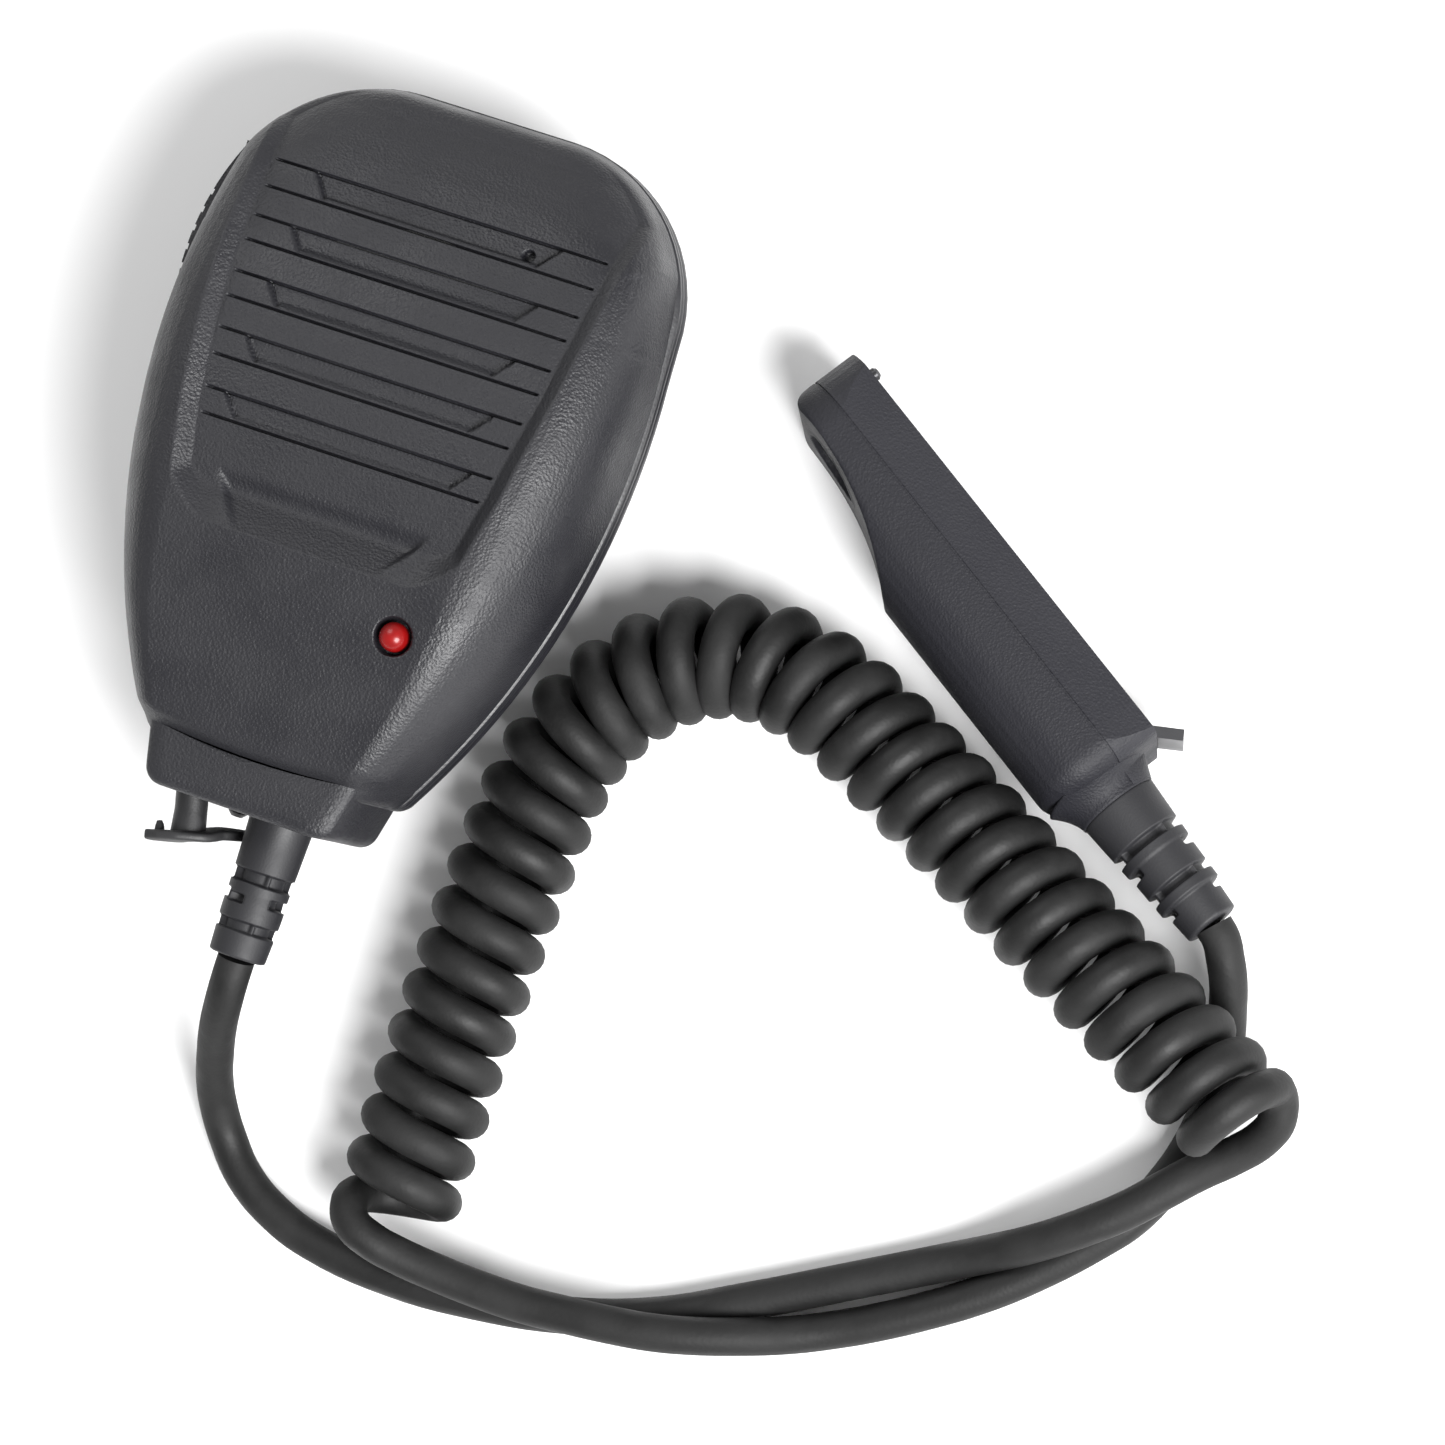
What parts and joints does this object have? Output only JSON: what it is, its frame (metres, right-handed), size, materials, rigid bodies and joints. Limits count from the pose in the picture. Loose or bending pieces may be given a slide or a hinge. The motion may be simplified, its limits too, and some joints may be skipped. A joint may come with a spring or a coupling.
{
  "type": "hand microphone",
  "caption": "Handheld speaker-microphone with a side push-to-talk key, grille, belt clip, curly cord and a screw-on side connector for a two-way radio",
  "frame": {"origin": "under the middle of the microphone's own box, on the surface it lies on", "axes": "+X is the microphone's right-hand side seen from the front, +Y its top, +Z out of its front face and up"},
  "size_m": [0.1472, 0.1297, 0.0363],
  "materials": {
    "shell_black": "fine leather grain",
    "clip_black": "fine grain",
    "plug_black": "fine grain",
    "cord_rubber": "satin",
    "soft_rubber": "matte",
    "inner_black": "moulded",
    "screw_black": "blackened steel",
    "steel": "plain",
    "cloth_black": "fine weave",
    "cone_grey": "pressed film",
    "board_green": "solder mask",
    "lamp_red": "tinted clear resin",
    "contact_gold": "gold plated"
  },
  "bodies": {
    "housing": {"front_cover": "shell_black", "rear_cover": "shell_black", "cover_screws": "screw_black", "grille_cloth": "cloth_black", "speaker_gasket": "soft_rubber", "speaker_basket": "steel", "speaker_cone": "cone_grey", "speaker_magnet": "steel", "mic_boot": "soft_rubber", "mic_capsule": "steel", "circuit_board": "board_green", "board_screws": "steel", "ptt_pivot_pin": "steel", "ptt_membrane": "soft_rubber", "ptt_switch": "inner_black", "led_lens": "lamp_red", "led_leads": "steel", "earphone_jack": "inner_black", "strain_relief_mic": "cord_rubber", "cable_clamp_mic": "steel", "clip_screw": "screw_black", "clip_washer": "steel", "cord_tail_mic": "cord_rubber", "cord_coil": "cord_rubber", "cord_tail_plug": "cord_rubber", "strain_relief_plug": "cord_rubber", "plug_base": "plug_black", "plug_cover": "plug_black", "plug_screws": "steel", "contact_block": "inner_black", "contact_pins": "contact_gold", "plug_seal": "soft_rubber", "plug_hook": "screw_black", "locating_pin": "screw_black"},
    "key": {"ptt_key": "shell_black"},
    "plunger": {"ptt_plunger": "inner_black"},
    "cap": {"jack_cap": "soft_rubber"},
    "clip_turntable": {"clip_plate": "clip_black", "clip_pin": "steel", "clip_spring": "steel"},
    "clip_lever": {"clip_arm": "clip_black"},
    "screw_carrier": {"thumbscrew_ring": "steel"},
    "screw": {"thumbscrew": "screw_black"}
  },
  "joints": [
    {"name": "ptt_press", "type": "hinge", "parent": "housing", "child": "key", "pos_m": [-0.02154, 0.03143, 0.019], "axis": [0, 0, 1], "range_deg": [0, 3.4], "stiffness_Nm_per_rad": 2, "springref_deg": -2.86},
    {"name": "plunger_slide", "type": "slide", "parent": "housing", "child": "plunger", "axis": [1, 0, 0], "range_m": [0, 0.0009]},
    {"name": "cap_pull", "type": "slide", "parent": "housing", "child": "cap", "axis": [0, -1, 0], "range_m": [0, 0.012]},
    {"name": "clip_swivel", "type": "hinge", "parent": "housing", "child": "clip_turntable", "pos_m": [0.00036, 0.01512, 0.009], "axis": [0, 0, 1], "continuous": true},
    {"name": "clip_open", "type": "hinge", "parent": "clip_turntable", "child": "clip_lever", "pos_m": [0.00036, 0.02513, 0.0056], "axis": [1, 0, 0], "range_deg": [0, 15], "stiffness_Nm_per_rad": 0.6, "springref_deg": -14.32},
    {"name": "screw_travel", "type": "slide", "parent": "housing", "child": "screw_carrier", "axis": [0.5284, 0.8231, -0.2079], "range_m": [0, 0.0011]},
    {"name": "screw_turn", "type": "hinge", "parent": "screw_carrier", "child": "screw", "pos_m": [0.04937, 0.02167, 0.00909], "axis": [0.5284, 0.8231, -0.2079], "range_deg": [0, 720]}
  ],
  "couplings": [
    {"joint": "plunger_slide", "follows": "ptt_press", "m_per_rad": 0.0131},
    {"joint": "screw_travel", "follows": "screw_turn", "m_per_rad": 0.0000796}
  ]
}
